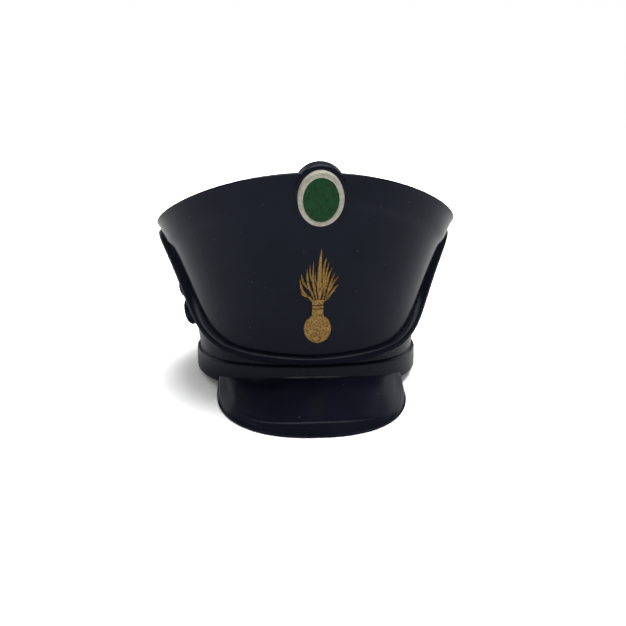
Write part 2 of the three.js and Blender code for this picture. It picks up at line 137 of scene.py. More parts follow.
# %% [markdown]
# ## Working habits
#
# An operator acts on everything that is selected, so each piece starts with nothing selected. A turned
# shape is drawn as a line of edges, one extrude per point, and spun about the Z axis. A law then
# carries its points to their place, which is how one turned ring becomes a slanted rim or a strap.

# %% Helpers for modelling


def only(piece=None):
    if bpy.context.mode != "OBJECT":
        bpy.ops.object.mode_set(mode="OBJECT")
    bpy.ops.object.select_all(action="DESELECT")
    if piece:
        piece.select_set(True)
        bpy.context.view_layer.objects.active = piece


def draw_line(name, points):
    only()
    bpy.ops.mesh.primitive_plane_add(size=1)
    line = bpy.context.object
    line.name = line.data.name = name
    bpy.ops.object.mode_set(mode="EDIT")
    bpy.ops.mesh.select_all(action="SELECT")
    bpy.ops.mesh.merge(type="CENTER")
    bpy.ops.transform.translate(value=(points[0][0], 0, points[0][1]))
    for (radius, height), (next_radius, next_height) in zip(points, points[1:]):
        step = (next_radius - radius, 0, next_height - height)
        bpy.ops.mesh.extrude_region_move(TRANSFORM_OT_translate={"value": step})
    bpy.ops.mesh.select_all(action="SELECT")
    bpy.ops.mesh.remove_doubles(threshold=1e-4)
    return line


def turn_piece(name, points, steps, angle=2 * math.pi):
    piece = draw_line(name, points)
    bpy.ops.mesh.select_all(action="SELECT")
    bpy.ops.mesh.spin(steps=steps, angle=angle, center=(0, 0, 0), axis=(0, 0, 1))
    bpy.ops.mesh.select_all(action="SELECT")
    bpy.ops.mesh.remove_doubles(threshold=1e-4)
    if angle < 2 * math.pi:
        bpy.ops.mesh.fill_holes(sides=0)
        bpy.ops.mesh.select_all(action="SELECT")
    bpy.ops.mesh.normals_make_consistent(inside=False)
    bpy.ops.object.mode_set(mode="OBJECT")
    return piece


def carry(piece, law):
    for vertex in piece.data.vertices:
        vertex.co = law(vertex.co)
    only(piece)
    bpy.ops.object.mode_set(mode="EDIT")
    bpy.ops.mesh.select_all(action="SELECT")
    bpy.ops.mesh.normals_make_consistent(inside=False)
    bpy.ops.object.mode_set(mode="OBJECT")


def corner(middle, radius, start, end, steps=5):
    turns = [math.radians(start + (end - start) * i / steps) for i in range(steps + 1)]
    return [(middle[0] + radius * math.cos(t), middle[1] + radius * math.sin(t)) for t in turns]


def smooth_step(value, low, high):
    share = min(1.0, max(0.0, (value - low) / (high - low)))
    return share * share * (3 - 2 * share)


# %% [markdown]
# ## Finishes
#
# The hat is one glossy, slightly bluish black plastic, with three printed paints: white, green and gold.
# The plastic is nearly black by itself, so its look comes from what it mirrors: from a roughness that
# varies a little, a faint unevenness of the mould, a few dust specks and some small marks. All patterns
# read Object coordinates, in metres, so their scales are large numbers.

# %% Helpers for materials


def new_material(name, color, roughness, ior=1.45, metallic=0.0, specular=0.5):
    material = bpy.data.materials.new(name)
    material.use_nodes = True
    shader = material.node_tree.nodes["Principled BSDF"]
    shader.inputs["Base Color"].default_value = (*color, 1)
    shader.inputs["Roughness"].default_value = roughness
    shader.inputs["IOR"].default_value = ior
    shader.inputs["Metallic"].default_value = metallic
    shader.inputs["Specular IOR Level"].default_value = specular
    return material, material.node_tree, shader


def add_noise(tree, scale, detail=3.0):
    place = tree.nodes.new("ShaderNodeTexCoord")
    noise = tree.nodes.new("ShaderNodeTexNoise")
    noise.inputs["Scale"].default_value = scale
    noise.inputs["Detail"].default_value = detail
    tree.links.new(place.outputs["Object"], noise.inputs["Vector"])
    return noise.outputs["Fac"]


def add_range(tree, value, low, high, to_low, to_high):
    node = tree.nodes.new("ShaderNodeMapRange")
    node.inputs["From Min"].default_value = low
    node.inputs["From Max"].default_value = high
    node.inputs["To Min"].default_value = to_low
    node.inputs["To Max"].default_value = to_high
    tree.links.new(value, node.inputs["Value"])
    return node.outputs["Result"]


def add_math(tree, kind, first, second):
    node = tree.nodes.new("ShaderNodeMath")
    node.operation = kind
    for socket, value in zip(node.inputs, (first, second)):
        if isinstance(value, (int, float)):
            socket.default_value = value
        else:
            tree.links.new(value, socket)
    return node.outputs["Value"]


def add_mix(tree, share, first, second):
    node = tree.nodes.new("ShaderNodeMix")
    node.data_type = "RGBA"
    tree.links.new(share, node.inputs[0])
    tree.links.new(first, node.inputs[6])
    node.inputs[7].default_value = (*second, 1)
    return node.outputs[2]


def add_ramp(tree, value, stops):
    node = tree.nodes.new("ShaderNodeValToRGB")
    ramp = node.color_ramp
    while len(ramp.elements) < len(stops):
        ramp.elements.new(0.5)
    for element, (place, color) in zip(ramp.elements, stops):
        element.position = place
        element.color = (*color, 1)
    tree.links.new(value, node.inputs["Fac"])
    return node.outputs["Color"]


def add_bump(tree, height, distance, shader, normal=None):
    node = tree.nodes.new("ShaderNodeBump")
    node.inputs["Distance"].default_value = distance
    tree.links.new(height, node.inputs["Height"])
    if normal:
        tree.links.new(normal, node.inputs["Normal"])
    tree.links.new(node.outputs["Normal"], shader.inputs["Normal"])
    return node.outputs["Normal"]


# %% The black plastic
DUST_FROM, DUST_TO = 0.775, 0.795
PALE_MARK = (0.032, 0.034, 0.038)
MOULD_WAVE, GRAIN_DEPTH = 0.000012, 0.000001
MARKS = [
    {"azimuth": 44, "height": 8.64, "long": 0.34, "wide": 0.035, "turn": 78},
    {"azimuth": -19, "height": 9.06, "long": 0.07, "wide": 0.06, "turn": 0},
    {"azimuth": 18, "height": 4.87, "long": 0.12, "wide": 0.05, "turn": 20},
    {"azimuth": 30, "height": 6.1, "long": 0.22, "wide": 0.03, "turn": -35},
    {"azimuth": -40, "height": 7.3, "long": 0.16, "wide": 0.03, "turn": 55},
    {"azimuth": 150, "height": 5.2, "long": 0.4, "wide": 0.035, "turn": 15},
    {"azimuth": -128, "height": 7.2, "long": 0.25, "wide": 0.035, "turn": 62},
]


def add_mark(tree, mark):
    azimuth = math.radians(mark["azimuth"])
    share = share_at(azimuth, mark["height"])
    outwards = wall_normal(azimuth, share)
    level = Vector((math.cos(azimuth), math.sin(azimuth), 0))
    turn = math.radians(mark["turn"])
    along = level * math.cos(turn) + outwards.cross(level) * math.sin(turn)
    axes = Matrix((along, outwards.cross(along), outwards)).transposed().to_4x4()
    place = HAT @ Matrix.Translation(on_crown(azimuth, share)) @ axes
    mapping = tree.nodes.new("ShaderNodeMapping")
    mapping.vector_type = "TEXTURE"
    mapping.inputs["Location"].default_value = place.translation
    mapping.inputs["Rotation"].default_value = place.to_euler()
    mapping.inputs["Scale"].default_value = (mark["long"] / 2000, mark["wide"] / 2000, 0.0001)
    length = tree.nodes.new("ShaderNodeVectorMath")
    length.operation = "LENGTH"
    coordinates = tree.nodes.new("ShaderNodeTexCoord")
    tree.links.new(coordinates.outputs["Object"], mapping.inputs["Vector"])
    tree.links.new(mapping.outputs["Vector"], length.inputs[0])
    return add_range(tree, length.outputs["Value"], 0.6, 1.0, 1.0, 0.0)


plastic, tree, shader = new_material("glossy_black_plastic", (0.009, 0.01, 0.0145), 0.2, ior=1.24)
shader.inputs["Specular Tint"].default_value = (0.83, 0.9, 1, 1)
cloud = add_noise(tree, 420, detail=2)
grain = add_noise(tree, 5200, detail=4)
marks = add_range(tree, add_noise(tree, 3800, detail=1), DUST_FROM, DUST_TO, 0.0, 1.0)
for mark in MARKS:
    marks = add_math(tree, "MAXIMUM", marks, add_mark(tree, mark))
satin = add_range(tree, cloud, 0.3, 0.7, 0.15, 0.22)
rougher = add_math(tree, "ADD", satin, add_math(tree, "MULTIPLY", marks, 0.3))
tree.links.new(rougher, shader.inputs["Roughness"])
tint = add_ramp(tree, cloud, [(0.3, (0.0064, 0.0074, 0.0145)), (0.7, (0.0086, 0.0098, 0.019))])
marked = add_mix(tree, add_math(tree, "MULTIPLY", marks, 0.7), tint, PALE_MARK)
tree.links.new(marked, shader.inputs["Base Color"])
waviness = add_bump(tree, cloud, MOULD_WAVE, shader)
unevenness = add_math(tree, "ADD", add_math(tree, "MULTIPLY", grain, 0.5), marks)
add_bump(tree, unevenness, GRAIN_DEPTH, shader, waviness)
print("finish:", plastic.name, "with", len(MARKS), "small marks")

# %% The three printed paints
DARK_SPECK = (0.03, 0.02, 0.01)
PRINT_DEPTH = 0.000003


def print_paint(name, dark, pale, roughness, metallic=0.0, speck=0.0):
    material, tree, shader = new_material(name, pale, roughness, metallic=metallic, specular=0.2)
    blotch = add_noise(tree, 13000 if speck else 6500, detail=3)
    color = add_ramp(tree, blotch, [(0.34, dark), (0.62, pale)])
    if speck:
        dots = add_range(tree, add_noise(tree, 11000, detail=1), 0.64, 0.70, 0.0, speck)
        color = add_mix(tree, dots, color, DARK_SPECK)
    tree.links.new(color, shader.inputs["Base Color"])
    satin = add_range(tree, blotch, 0.3, 0.7, roughness - 0.06, roughness + 0.08)
    tree.links.new(satin, shader.inputs["Roughness"])
    add_bump(tree, add_noise(tree, 9000, detail=3), PRINT_DEPTH, shader)
    return material


white_print = print_paint("white_print", (0.35, 0.34, 0.275), (0.48, 0.465, 0.39), 0.34)
green_print = print_paint("green_print", (0.003, 0.036, 0.010), (0.006, 0.062, 0.017), 0.36)
gold_print = print_paint(
    "gold_print", (0.16, 0.075, 0.014), (0.48, 0.30, 0.095), 0.42, metallic=0.25, speck=0.8)
print("prints:", white_print.name, green_print.name, gold_print.name)

# %% Handing a piece over


def finish_piece(piece, material, slot, *nodes, angle=40):
    piece.data.transform(HAT)
    only(piece)
    bpy.ops.object.shade_smooth_by_angle(angle=math.radians(angle))
    piece.data.materials.clear()
    piece.data.materials.append(material)
    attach(piece, "root")
    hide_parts(*nodes)
    size = [round(1000 * side, 2) for side in piece.dimensions]
    faces = len(piece.data.polygons)
    print("%s: %s mm, %d faces, stands for %s" % (piece.name, size, faces, ", ".join(nodes)))


# %% [markdown]
# ## Band, crown and top band
#
# On the real hat these are one moulding, so they are one turned shell here: up inside the hollow,
# round the lower band, up the flared wall, over the soft step of the top band and across the top. The
# shell is turned with a level rim. A law then lifts it: the top band keeps its height all round, and
# only the wall below it is stretched. The same law lets the lower band dip a little at both sides.

# %% The turned shell
LEVEL_RISE = LEVEL_RIM - CROWN_FOOT
CEILING = LEVEL_RIM - TOP_THICKNESS
CEILING_EDGE = 6.2
BAND_TOP_EDGE, RIM_EDGE, STEP_SOFT = 0.1, 0.1, 0.045
TOP_EDGE = RIM_RADIUS + TOP_BAND_PROUD - RIM_EDGE
STEP_SHARE = 1 - TOP_BAND_HEIGHT / LEVEL_RISE
BAND_DIP, DIP_FADE = 0.26, 1.6


def wall_point(share, out=0.0):
    return crown_radius(share) + out, CROWN_FOOT + share * LEVEL_RISE


def inner_wall(share):
    return max(HEAD_HOLLOW / 2, crown_radius(share) - CROWN_WALL), CROWN_FOOT + share * LEVEL_RISE


shell_line = [(r, CEILING) for r in (0, 1, 2, 3, 4, 4.8, 5.5, CEILING_EDGE)]
shell_line += [(6.36, CEILING - 0.04), (6.44, CEILING - 0.14)]
shell_line += [inner_wall(share) for share in (0.78, 0.7, 0.6, 0.5, 0.4, 0.3, 0.2, 0.1, 0)]
shell_line += corner((HEAD_HOLLOW / 2 + 0.08, 0.08), 0.08, 180, 270)
shell_line += corner((BAND_RADIUS - BAND_EDGE, BAND_EDGE), BAND_EDGE, 270, 360, 8)
shell_line += corner((BAND_RADIUS - BAND_TOP_EDGE, BAND_HEIGHT - BAND_TOP_EDGE), BAND_TOP_EDGE, 0, 88, 6)
shell_line += [(FOOT_RADIUS + 0.03, BAND_HEIGHT + 0.001), (FOOT_RADIUS + 0.008, BAND_HEIGHT + 0.012)]
shell_line += [wall_point(0.01 + i * (STEP_SHARE - STEP_SOFT - 0.03) / 22) for i in range(23)]
shell_line += [
    wall_point(share, TOP_BAND_PROUD * smooth_step(share, STEP_SHARE - STEP_SOFT, STEP_SHARE + STEP_SOFT))
    for share in [STEP_SHARE + STEP_SOFT * (i / 6 - 1) for i in range(13)]
]
shell_line += [wall_point(share, TOP_BAND_PROUD) for share in (0.86, 0.89, 0.92, 0.95)]
shell_line += corner((TOP_EDGE, LEVEL_RIM - RIM_EDGE), RIM_EDGE, 8, 90, 8)
shell_line += [(r, LEVEL_RIM) for r in (7.6, 7.2, 6.6, 6, 5, 4, 3, 2, 1, 0)]
shell = turn_piece("hat_shell", shell_line, steps=192)


def band_dip(ahead, height):
    fade = 1 - smooth_step(height, CROWN_FOOT, CROWN_FOOT + DIP_FADE)
    return BAND_DIP * (1 + ahead) * (1 - ahead**2) * fade


def lift_to_rim(point):
    x, y, z = point
    radius = math.hypot(x, y)
    ahead = -y / radius if radius > 1e-6 else 0
    if z <= CROWN_FOOT + 1e-6:
        return Vector((x, y, z - band_dip(ahead, z)))
    rim = top_height(RIM_RADIUS * ahead)
    for level, edge in ((LEVEL_RIM, TOP_EDGE), (CEILING, CEILING_EDGE)):
        if abs(z - level) < 1e-4:
            lift = top_height(RIM_RADIUS * ahead * min(1, radius / edge)) - LEVEL_RIM
            return Vector((x, y, z + lift))
    out = radius - crown_radius((z - CROWN_FOOT) / LEVEL_RISE)
    shelf = LEVEL_RIM - TOP_BAND_HEIGHT - STEP_SOFT * LEVEL_RISE
    if z > shelf:
        height = z + rim - LEVEL_RIM
    else:
        stretch = (shelf + rim - LEVEL_RIM - CROWN_FOOT) / (shelf - CROWN_FOOT)
        height = CROWN_FOOT + (z - CROWN_FOOT) * stretch
    grown = crown_radius((height - CROWN_FOOT) / (rim - CROWN_FOOT)) + out
    return Vector((x * grown / radius, y * grown / radius, height - band_dip(ahead, height)))


carry(shell, lift_to_rim)
finish_piece(shell, plastic, "black_plastic", "crown", "top_band", "lower_band", angle=35)

# %% [markdown]
# ## The tube inside
#
# Such hats clip onto a stud on the figure's head, with a short round tube under the crown's top. It
# can't be seen in the picture, so it is one plain turned ring.

# %% The grip tube
BORE = GRIP_BORE / 2
OUTSIDE = BORE + GRIP_WALL
TUBE_LOW = LEVEL_RIM - TOP_THICKNESS - GRIP_LENGTH
TUBE_SUNK = Vector((0, 0, 0.03))
tube_line = [(BORE, CEILING)] + corner((BORE + 0.1, TUBE_LOW + 0.1), 0.1, 180, 270)
tube_line += corner((OUTSIDE - 0.1, TUBE_LOW + 0.1), 0.1, 270, 360) + [(OUTSIDE, CEILING), (BORE, CEILING)]
tube = turn_piece("grip_tube_inside", tube_line, steps=96)
carry(tube, lambda point: point if point.z < CEILING - 1e-3 else lift_to_rim(point) + TUBE_SUNK)
finish_piece(tube, plastic, "black_plastic", "grip_tube")

# %% [markdown]
# ## The peak
#
# The peak is a full half-ellipse in plan and arched from side to side. In front it ends in a low crest
# with a steep face, and at the sides it rounds off smoothly towards the table. Its section is drawn
# once, from a small fillet at the band out over the crest and back underneath, and spun through half a
# turn. A law then carries each turned point from the band towards the half-ellipse.

# %% The section of the peak
PLATE_END, PEAK_ROOT = 2.0, 1.0
BEAD = [
    {"out": 0.0, "above": 0.0},
    {"out": 0.06, "above": 0.006},
    {"out": 0.12, "above": 0.024},
    {"out": 0.17, "above": 0.048},
    {"out": 0.21, "above": 0.062},
    {"out": 0.24, "above": 0.064},
    {"out": 0.27, "above": 0.05},
    {"out": 0.3, "above": 0.01},
    {"out": 0.325, "above": -0.05},
    {"out": 0.35, "above": -0.12},
    {"out": 0.38, "above": -0.2},
    {"out": 0.42, "above": -0.29},
    {"out": 0.47, "above": -0.39},
    {"out": 0.52, "above": -0.48},
    {"out": BEAD_WIDTH, "above": -0.56},
]
ON_TABLE = 50.0
PLATE = [
    {"share": 0, "raised": 0.1},
    {"share": 0.055, "raised": 0.09},
    {"share": 0.07, "raised": 0.062},
    {"share": 0.085, "raised": 0.031},
    {"share": 0.104, "raised": 0.01},
    {"share": 0.125, "raised": 0},
]
PLATE += [{"share": share, "raised": 0} for share in (0.25, 0.38, 0.5, 0.6, 0.7, 0.8, 0.88, 0.95)]
peak_line = [(PEAK_ROOT + row["share"] * (PLATE_END - PEAK_ROOT), row["raised"]) for row in PLATE]
peak_line += [(PLATE_END + row["out"], row["above"]) for row in BEAD]
BEAD_END = PLATE_END + BEAD_WIDTH
peak_line += [(BEAD_END, -ON_TABLE + 0.05), (BEAD_END - 0.015, -ON_TABLE + 0.015)]
peak_line += [(BEAD_END - 0.05, -ON_TABLE), (PLATE_END + 0.06, -ON_TABLE)]
peak_line += [(PLATE_END, -ON_TABLE + 0.05), (PLATE_END - 0.02, -PEAK_THICKNESS)]
peak_line += [(PEAK_ROOT + share, -PEAK_THICKNESS) for share in (0.8, 0.6, 0.4, 0.2, 0)] + peak_line[:1]
peak = turn_piece("peak_with_bead", peak_line, steps=120, angle=math.pi)

# %% Carrying the peak to its place
ROOT_FORWARD = math.sqrt(BAND_RADIUS**2 - PEAK_HALF_WIDTH**2)
ROOT_ANGLE = math.asin(PEAK_HALF_WIDTH / BAND_RADIUS)
SHOULDER, SHOULDER_POWER = 1.5, 2.2
SIDE_FROM, SIDE_TO = 0.12, 0.66
END_FROM, END_TO, END_SHARE = 0.72, 0.98, 0.85


def ground_height(forward):
    return -(forward + BAND_RADIUS - BAND_EDGE) * math.tan(LEAN)


FRONT_TOP = ground_height(PEAK_REACH - BEAD_WIDTH) + BEAD_HEIGHT
PEAK_FALL = (PEAK_ROOT_FRONT - FRONT_TOP) / (PEAK_REACH - BEAD_WIDTH - BAND_RADIUS)
ROOT_DROP = PEAK_ROOT_FRONT - PEAK_ROOT_END + PEAK_FALL * (BAND_RADIUS - ROOT_FORWARD)
PEAK_ARCH = ROOT_DROP / PEAK_HALF_WIDTH**2
print("peak: falls %.3f forwards, arch %.4f" % (PEAK_FALL, PEAK_ARCH))


def peak_top(side, forward):
    return PEAK_ROOT_FRONT - PEAK_FALL * (forward - BAND_RADIUS) - PEAK_ARCH * side**2


def peak_edge(turn, inwards):
    angle = abs(turn) * math.pi / 2
    side = math.sin(angle) ** PEAK_FULLNESS
    ahead = max(0.0, math.cos(angle)) ** PEAK_FULLNESS
    return (
        math.copysign((PEAK_HALF_WIDTH - inwards) * side, turn),
        ROOT_FORWARD + (PEAK_REACH - ROOT_FORWARD - inwards) * ahead,
    )


def carry_peak(point):
    radius = math.hypot(point.x, point.y)
    turn = 2 * math.acos(max(-1, min(1, point.x / radius))) / math.pi - 1
    share = min(1.0, (radius - PEAK_ROOT) / (PLATE_END - PEAK_ROOT))
    inwards = BEAD_WIDTH - max(0.0, radius - PLATE_END)
    edge_x, edge_forward = peak_edge(turn, inwards)
    root = around(turn * ROOT_ANGLE, BAND_RADIUS - BAND_EDGE, 0)
    x = root.x + share * (edge_x - root.x)
    y = root.y + share * (-edge_forward - root.y)
    ground = ground_height(-y)
    if point.z < -ON_TABLE / 2:
        return Vector((x, y, ground + point.z + ON_TABLE))
    if point.z < -PEAK_THICKNESS / 2:
        return Vector((x, y, max(ground + 0.1, peak_top(x, -y) + point.z)))
    at_side = smooth_step(abs(turn), SIDE_FROM, SIDE_TO)
    at_end = 1 - END_SHARE * smooth_step(abs(turn), END_FROM, END_TO)
    plate = math.hypot(edge_x - root.x, -edge_forward - root.y)
    width = min(SHOULDER, plate + BEAD_WIDTH)
    shoulder = max(0.0, 1 - (inwards + (1 - share) * plate) / width) ** SHOULDER_POWER
    outer_x, outer_forward = peak_edge(turn, 0)
    drop = peak_top(outer_x, outer_forward) - ground_height(outer_forward) - SIDE_FOOT
    top = peak_top(x, -y)
    section = point.z if point.z > 0 else point.z * (top - ground) / BEAD_HEIGHT
    return Vector((x, y, top + (1 - at_side) * section - at_side * at_end * drop * shoulder))


carry(peak, carry_peak)
finish_piece(peak, plastic, "black_plastic", "peak", "peak_rim", angle=50)

# %% [markdown]
# ## The chin strap
#
# The strap is a narrow rib with a slanted face. It lies on the crown's foot in front, climbs both sides
# just in front of the bosses and runs round under the rim behind. It is turned as a plain ring, and the
# law lays that ring along the route, so its section stays square to the wall everywhere.

# %% The route of the strap
STRAP_SUNK = 0.03
STRAP_CLIMB = [
    {"azimuth": 0, "climb": 0},
    {"azimuth": 22, "climb": 0.011},
    {"azimuth": 36, "climb": 0.026},
    {"azimuth": 47, "climb": 0.056},
    {"azimuth": 60, "climb": 0.15},
    {"azimuth": 69, "climb": 0.3},
    {"azimuth": 75, "climb": 0.5},
    {"azimuth": 80, "climb": 0.74},
    {"azimuth": 86, "climb": 0.92},
    {"azimuth": 93, "climb": 1},
    {"azimuth": 180, "climb": 1},
]
places = [row["azimuth"] for row in STRAP_CLIMB]
climbs = [row["climb"] for row in STRAP_CLIMB]
inner_slopes = [
    (climbs[i + 1] - climbs[i - 1]) / (places[i + 1] - places[i - 1]) for i in range(1, len(places) - 1)
]
slopes = [0.0] + inner_slopes + [0.0]


def climb_at(azimuth):
    i = max(k for k in range(len(places) - 1) if azimuth >= places[k])
    width = places[i + 1] - places[i]
    t = (azimuth - places[i]) / width
    value = (2 * t**3 - 3 * t**2 + 1) * climbs[i] + (t**3 - 2 * t**2 + t) * width * slopes[i]
    value += (-2 * t**3 + 3 * t**2) * climbs[i + 1] + (t**3 - t**2) * width * slopes[i + 1]
    return min(1.0, max(0.0, value))


def strap_seat(azimuth_degrees, side):
    azimuth = side * math.radians(azimuth_degrees)
    low = BAND_HEIGHT + 2 * PIECE_GAP + STRAP_WIDTH / 2
    high = rim_height(azimuth) - STRAP_UNDER_RIM
    share = share_at(azimuth, low + climb_at(azimuth_degrees) * (high - low))
    outwards = wall_normal(azimuth, share)
    return on_crown(azimuth, share) - outwards * STRAP_SUNK, outwards


walk = [0.5 * i for i in range(361)]
seats = [strap_seat(azimuth, 1)[0] for azimuth in walk]
lengths = [0.0]
for before, after in zip(seats, seats[1:]):
    lengths.append(lengths[-1] + (after - before).length)


def azimuth_along(share):
    target = share * lengths[-1]
    i = min(len(walk) - 2, max(k for k in range(len(walk)) if lengths[k] <= target))
    part = (target - lengths[i]) / (lengths[i + 1] - lengths[i])
    return walk[i] + part * (walk[i + 1] - walk[i])


print("strap: %.1f mm round" % (2 * lengths[-1]))

# %% The strap itself
STRAP_RING = 10.0
half_width = STRAP_WIDTH / 2
face, edge = STRAP_THICKNESS + STRAP_SUNK, 0.1
lower = STRAP_RING - half_width
STRAP_FACE = [
    {"up": -0.5, "out": 1},
    {"up": 0, "out": 0.93},
    {"up": 0.4, "out": 0.84},
    {"up": 0.58, "out": 0.76},
    {"up": 0.75, "out": 0.61},
    {"up": 0.89, "out": 0.42},
    {"up": 0.98, "out": 0.2},
    {"up": 1.02, "out": 0},
]
strap_line = [(lower, 0.0)] + corner((lower + edge, face - edge - 0.01), edge, 180, 90, 6)
strap_line += [(STRAP_RING + row["up"] * half_width, row["out"] * face) for row in STRAP_FACE]
strap_line += [(lower, 0.0)]
strap = turn_piece("chin_strap_rib", strap_line, steps=256)


def lay_strap(point):
    angle = math.atan2(point.y, point.x)
    side = 1 if angle >= 0 else -1
    share = min(1.0, abs(angle) / math.pi)
    azimuth = azimuth_along(share)
    middle, outwards = strap_seat(azimuth, side)
    before = strap_seat(max(0, azimuth - 0.5), side)[0]
    after = strap_seat(min(180, azimuth + 0.5), side)[0]
    if azimuth < 0.5:
        before = Vector((-after.x, after.y, after.z))
    if azimuth > 179.5:
        after = Vector((-before.x, before.y, before.z))
    along = (after - before).normalized() * side
    across = outwards.cross(along).normalized()
    outer = along.cross(across).normalized()
    return middle + across * (math.hypot(point.x, point.y) - STRAP_RING) + outer * point.z


carry(strap, lay_strap)
finish_piece(strap, plastic, "black_plastic", "chin_strap", angle=60)

# %% [markdown]
# ## Bosses at the sides
#
# Each side carries a round boss with a smaller knob above it, where a real shako's chin scales hang.
# They are turned buttons. One of each is made, and each side gets its own copy of the mesh.

# %% Side bosses and knobs
BUTTONS = {
    "boss": {"azimuth": 97, "height": 1.45, "diameter": 1.55, "proud": 0.66},
    "knob": {"azimuth": 97, "height": 2.805, "diameter": 1.0, "proud": 0.64},
}
BUTTON_EDGE, BUTTON_ROOT = 0.35, 0.3
for kind, size in BUTTONS.items():
    radius, face = size["diameter"] / 2, size["proud"]
    edge = BUTTON_EDGE * face
    button_line = [(0, -BUTTON_ROOT), (radius, -BUTTON_ROOT), (radius, face - edge)]
    button_line += corner((radius - edge, face - edge), edge, 6, 90, 8) + [(radius * 0.3, face), (0, face)]
    model = turn_piece("side_" + kind, button_line, steps=48)
    for name, side in (("right", -1), ("left", 1)):
        piece = model.copy()
        piece.data = model.data.copy()
        piece.name = piece.data.name = "%s_side_%s" % (name, kind)
        bpy.context.collection.objects.link(piece)
        azimuth = side * math.radians(size["azimuth"])
        share = share_at(azimuth, BAND_HEIGHT + size["height"])
        turned = wall_normal(azimuth, share).to_track_quat("Z", "Y").to_matrix().to_4x4()
        piece.data.transform(Matrix.Translation(on_crown(azimuth, share)) @ turned)
        finish_piece(piece, plastic, "black_plastic", "side_%s_%s" % (kind, name))
    bpy.data.objects.remove(model)

# %% [markdown]
# ## The cockade
#
# At the front of the rim stands a round boss, partly above the rim, and on it an oval cockade: a white
# ring round a green centre. All three are cut from discs: a filled circle is resized, extruded back to
# its depth and given a rounded edge.

# %% Helpers for the front
COCKADE = {"width": 2.02, "height": 2.42, "below_rim": 1.01, "thickness": 0.42, "ring": 0.24, "sunk": 0.04}
COCKADE_BOSS = {"radius": 1.15, "depth": 0.8, "above": 0.25, "bevel": 0.15}
PRINT_SHIFT = 0.17
COCKADE_SEAT, COCKADE_ROOT = TOP_BAND_PROUD + 2 * PIECE_GAP, 0.1
FRONT_SHARE = 1 - COCKADE["below_rim"] / (rim_height(0) - CROWN_FOOT)


def front_matrix(out):
    lean = math.atan(wall_slope(0, FRONT_SHARE))
    facing = Vector((0, -math.cos(lean), -math.sin(lean)))
    seat = on_crown(0, FRONT_SHARE) + facing * out + Vector((PRINT_SHIFT, 0, 0))
    return Matrix.Translation(seat) @ Matrix.Rotation(math.pi / 2 + lean, 4, "X")


def cut_disc(name, half_width, half_height, depth, edge, hole=0.0, middle=(0, 0)):
    only()
    bpy.ops.mesh.primitive_circle_add(vertices=96, radius=1, fill_type="NGON")
    disc = bpy.context.object
    disc.name = disc.data.name = name
    bpy.ops.object.mode_set(mode="EDIT")
    bpy.ops.mesh.select_mode(type="FACE")
    bpy.ops.mesh.select_all(action="SELECT")
    bpy.ops.transform.resize(value=(half_width, half_height, 1))
    if hole:
        bpy.ops.mesh.inset(thickness=hole, use_even_offset=True)
        bpy.ops.mesh.delete(type="FACE")
        bpy.ops.mesh.select_all(action="SELECT")
    bpy.ops.mesh.extrude_region_move(TRANSFORM_OT_translate={"value": (0, 0, depth)})
    bpy.ops.mesh.select_all(action="SELECT")
    bpy.ops.transform.translate(value=(middle[0], middle[1], 0))
    bpy.ops.mesh.normals_make_consistent(inside=False)
    bpy.ops.mesh.select_mode(type="VERT")
    bpy.ops.object.mode_set(mode="OBJECT")
    bevel = disc.modifiers.new("bevel", "BEVEL")
    bevel.width, bevel.segments = edge, 5
    bevel.limit_method, bevel.angle_limit = "ANGLE", math.radians(50)
    only(disc)
    bpy.ops.object.modifier_apply(modifier=bevel.name)
    return disc


# %% Boss, ring and centre
boss = cut_disc("cockade_boss_disc", COCKADE_BOSS["radius"], COCKADE_BOSS["radius"], COCKADE_BOSS["depth"],
                COCKADE_BOSS["bevel"], middle=(0, COCKADE_BOSS["above"]))
boss.data.transform(front_matrix(COCKADE_SEAT - PIECE_GAP - COCKADE_BOSS["depth"]))
finish_piece(boss, plastic, "black_plastic", "cockade_boss")

half_width, half_height = COCKADE["width"] / 2, COCKADE["height"] / 2
depth = COCKADE["thickness"] + COCKADE_ROOT
ring = cut_disc("cockade_white_ring", half_width, half_height, depth, 0.09, hole=COCKADE["ring"])
ring.data.transform(front_matrix(COCKADE_SEAT - COCKADE_ROOT))
finish_piece(ring, white_print, "white_print", "cockade_ring")

inside = COCKADE["ring"] - 0.02
centre = cut_disc("cockade_green_centre", half_width - inside, half_height - inside,
                  depth - COCKADE["sunk"] / 2, 0.05)
centre.data.transform(front_matrix(COCKADE_SEAT - COCKADE_ROOT))
finish_piece(centre, green_print, "green_print", "cockade_centre")

# %% [markdown]
# ## The grenade badge
#
# The badge is a gold print: a round grenade, a short neck bound twice, and a burst of flames. Each
# flame is a sphere primitive that is drawn out along a curve from the neck to its tip, flattened, and
# laid on the wall, so that the black plastic shows between the flames as fine dark lines.

# %% Laying a shape on the front wall
BADGE_PROUD = 0.1


def on_front_wall(side, height, out):
    side += PRINT_SHIFT
    level = BAND_HEIGHT + height
    radius = RIM_RADIUS
    for _ in range(4):
        azimuth = math.asin(side / radius)
        radius = crown_radius(share_at(azimuth, level)) + out
    return Vector((side, -math.sqrt(radius**2 - side**2), level))


